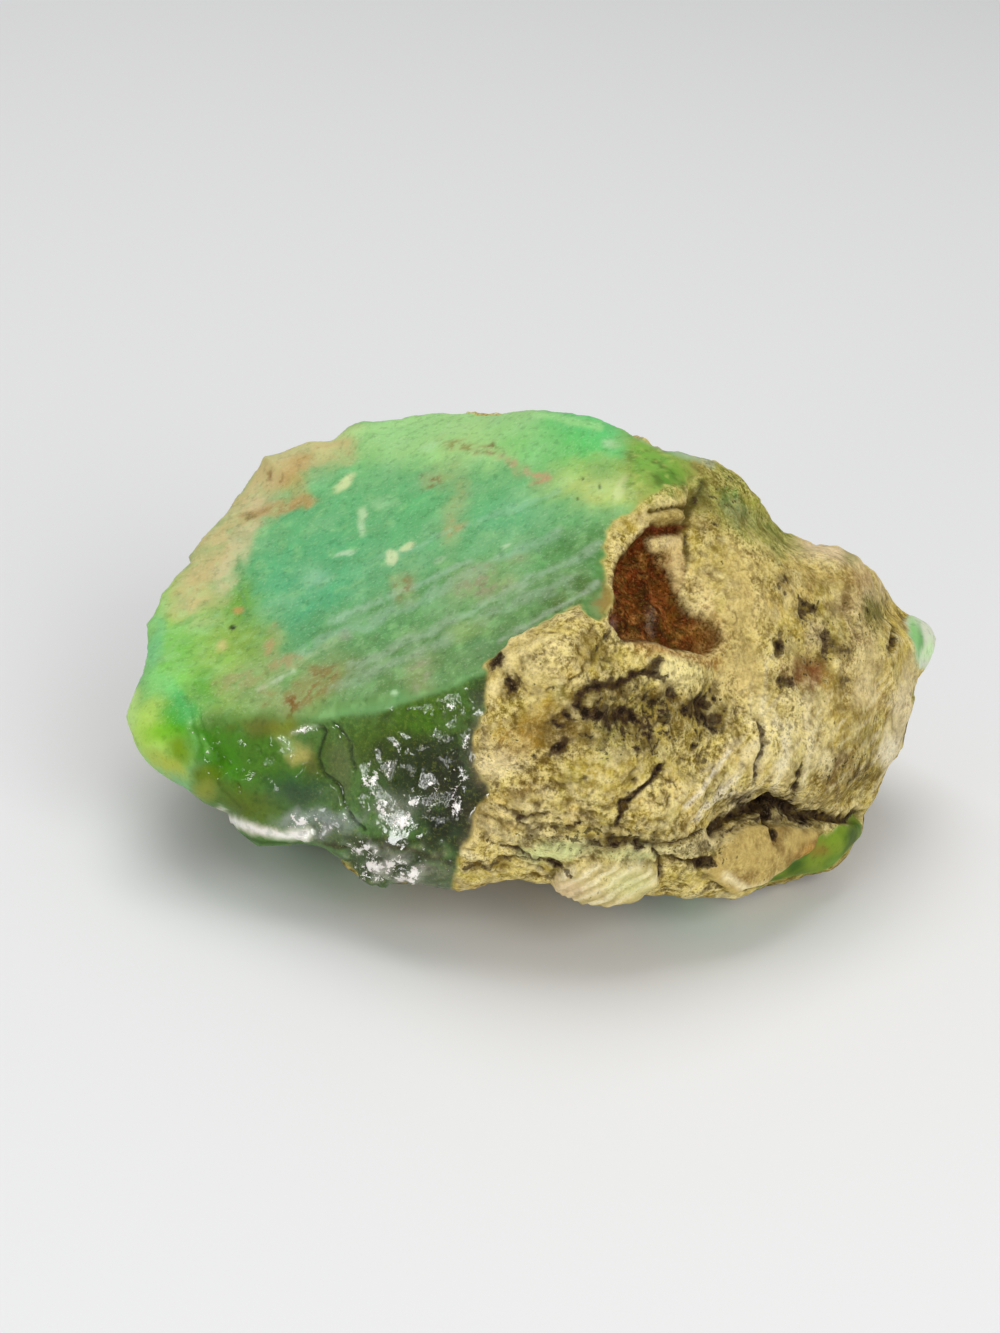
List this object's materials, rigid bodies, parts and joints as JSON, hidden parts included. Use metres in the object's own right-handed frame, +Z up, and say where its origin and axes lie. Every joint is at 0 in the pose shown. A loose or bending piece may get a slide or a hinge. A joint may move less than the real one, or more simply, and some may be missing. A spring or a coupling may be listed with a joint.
{
  "type": "raw chrysoprase",
  "caption": "Loose raw chrysoprase with a flat sawn green face, a wet-looking broken front and tan crust with dark cracks elsewhere.",
  "frame": {"origin": "on the ground under the middle of the stone's bounding box", "axes": "+Z up, +X along the longest extent towards the crusted end, the sawn face leaning towards -X and -Y"},
  "size_m": [0.075, 0.0516, 0.041],
  "materials": {
    "chrysoprase_stone": "sawn and wet green chalcedony, matt tan crust"
  },
  "bodies": {
    "root": {"chrysoprase_stone": "chrysoprase_stone"}
  },
  "joints": []
}
